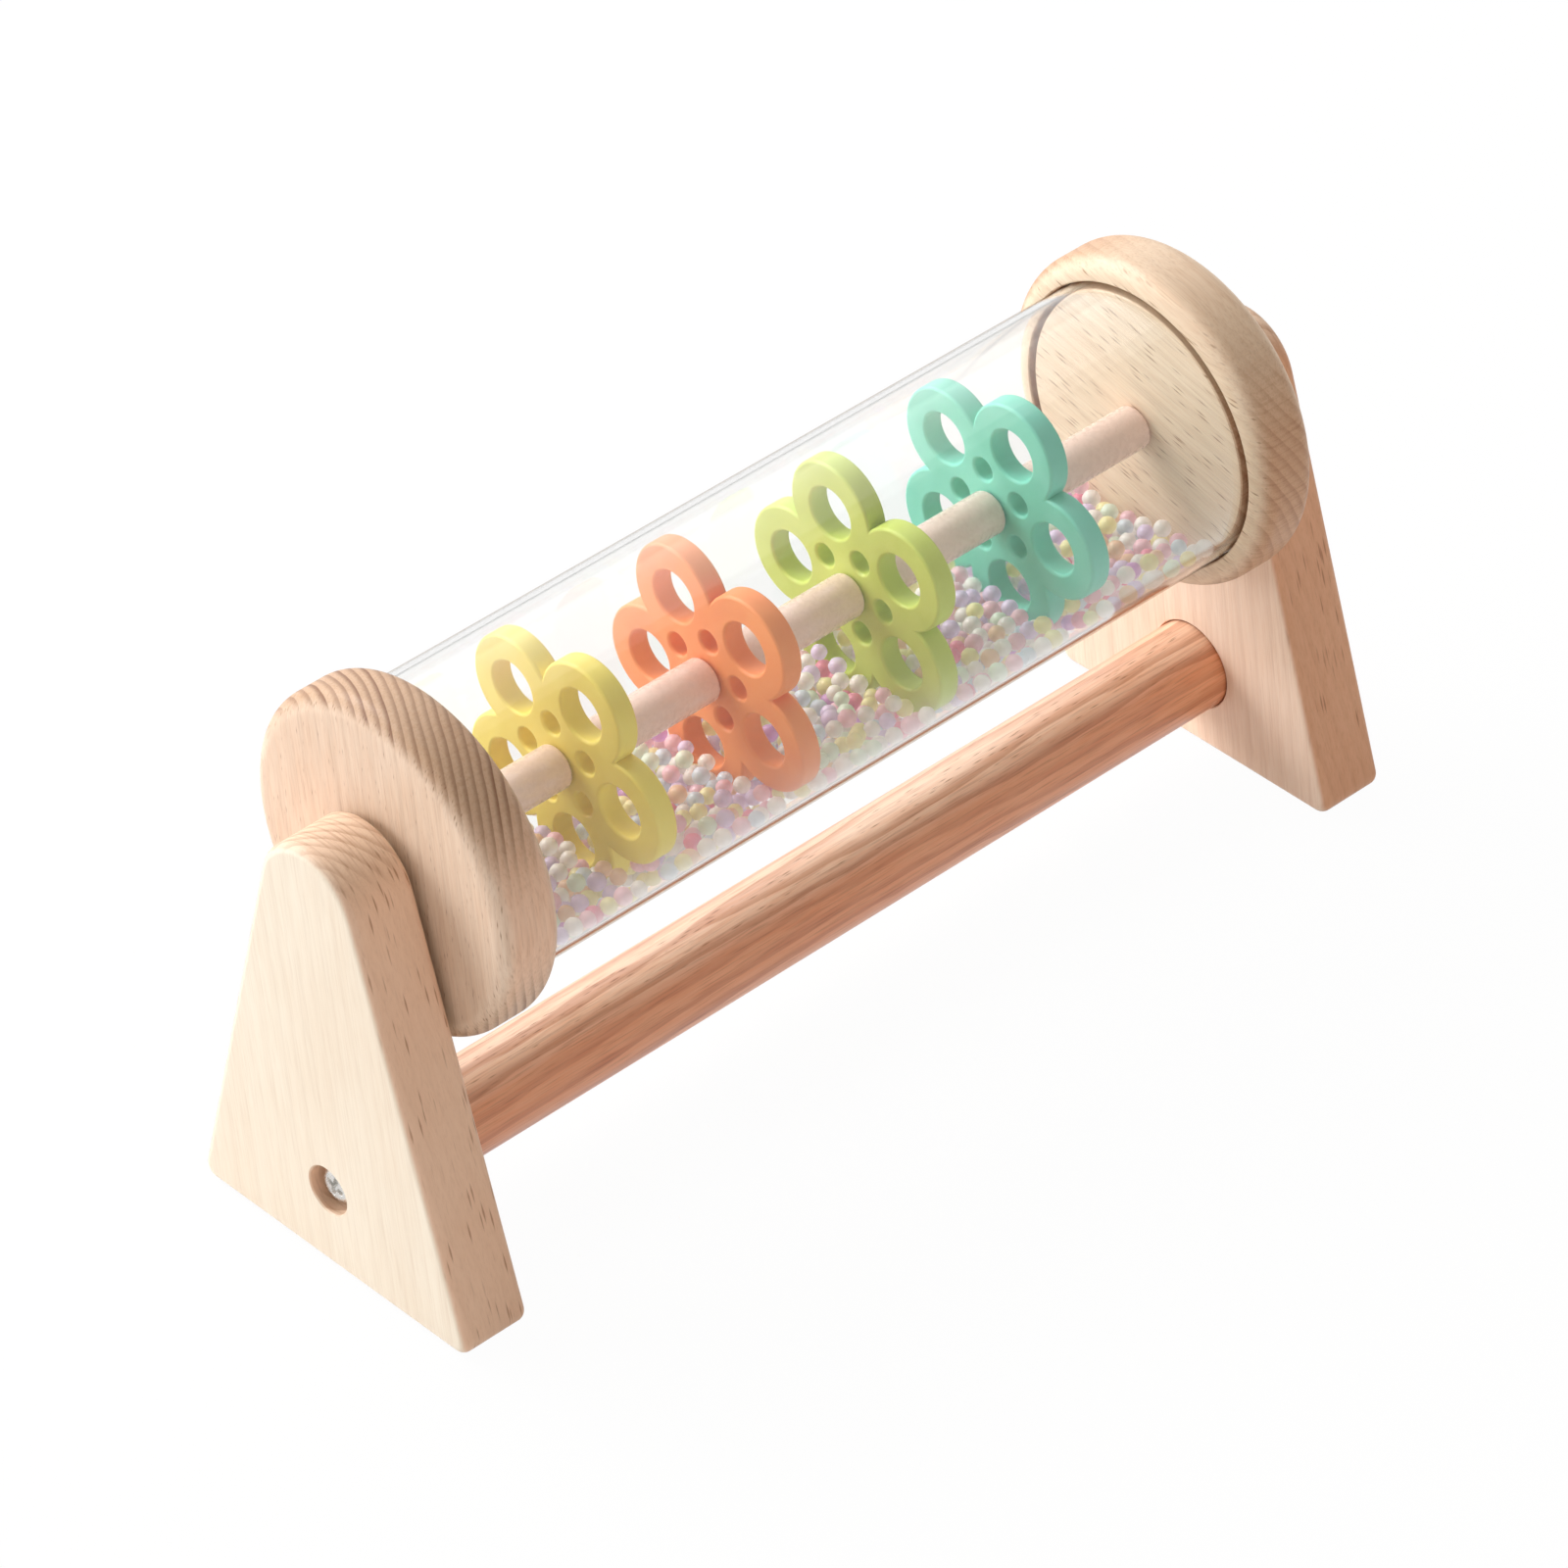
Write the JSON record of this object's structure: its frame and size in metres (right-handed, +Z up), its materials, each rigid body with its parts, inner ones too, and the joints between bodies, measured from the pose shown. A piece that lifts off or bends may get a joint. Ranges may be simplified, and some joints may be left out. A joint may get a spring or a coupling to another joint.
{
  "type": "sensory tube toy",
  "caption": "Wooden tabletop sensory toy: a clear tube holding loose beads and soft flower discs spins on an axle between tapered legs joined by a round bar.",
  "frame": {"origin": "on the ground, under the middle of the drum", "axes": "+X along the drum towards the right-hand leg of the picture, -Y towards the viewer, +Z up"},
  "size_m": [0.28, 0.0862, 0.1394],
  "materials": {
    "beech_leg": "sanded bare beech with upright grain",
    "beech_bar": "warmer sanded beech dowel",
    "beech_disc": "turned bare beech with rounded rims",
    "beech_rod": "plain beech dowel",
    "steel_screw": "zinc plated",
    "clear_tube": "clear polished acrylic",
    "white_sleeve": "smooth creamy white",
    "nylon_washer": "natural nylon",
    "silicone_yellow": "matte silicone",
    "silicone_orange": "matte silicone",
    "silicone_lime": "matte silicone",
    "silicone_teal": "matte silicone",
    "beads": "mixed pastel beads with a slight gloss"
  },
  "bodies": {
    "stand": {"leg_left": "beech_leg", "leg_right": "beech_leg", "crossbar": "beech_bar", "crossbar_screw_left": "steel_screw", "crossbar_screw_right": "steel_screw"},
    "drum": {"drum_disc_left": "beech_disc", "drum_disc_right": "beech_disc", "clear_tube": "clear_tube", "axle_rod": "beech_rod", "thrust_washer_left": "nylon_washer", "thrust_washer_right": "nylon_washer", "spacer_sleeve_1": "white_sleeve", "spacer_sleeve_2": "white_sleeve", "spacer_sleeve_3": "white_sleeve", "spacer_sleeve_4": "white_sleeve", "spacer_sleeve_5": "white_sleeve"},
    "yellow_flower": {"flower_yellow": "silicone_yellow"},
    "orange_flower": {"flower_orange": "silicone_orange"},
    "lime_flower": {"flower_lime": "silicone_lime"},
    "teal_flower": {"flower_teal": "silicone_teal"},
    "beads": {"bead_bed_1": "beads", "bead_bed_2": "beads", "bead_bed_3": "beads", "bead_bed_4": "beads", "bead_bed_5": "beads"}
  },
  "joints": [
    {"name": "drum_spin", "type": "hinge", "parent": "stand", "child": "drum", "pos_m": [0, 0, 0.0984], "axis": [1, 0, 0], "continuous": true},
    {"name": "yellow_flower_spin", "type": "hinge", "parent": "drum", "child": "yellow_flower", "pos_m": [-0.0668, 0, 0.0984], "axis": [1, 0, 0], "continuous": true},
    {"name": "orange_flower_spin", "type": "hinge", "parent": "drum", "child": "orange_flower", "pos_m": [-0.024, 0, 0.0984], "axis": [1, 0, 0], "continuous": true},
    {"name": "lime_flower_spin", "type": "hinge", "parent": "drum", "child": "lime_flower", "pos_m": [0.0188, 0, 0.0984], "axis": [1, 0, 0], "continuous": true},
    {"name": "teal_flower_spin", "type": "hinge", "parent": "drum", "child": "teal_flower", "pos_m": [0.0616, 0, 0.0984], "axis": [1, 0, 0], "continuous": true},
    {"name": "bead_slosh", "type": "hinge", "parent": "stand", "child": "beads", "pos_m": [0, 0, 0.0984], "axis": [1, 0, 0], "range_deg": [-35, 35]}
  ]
}
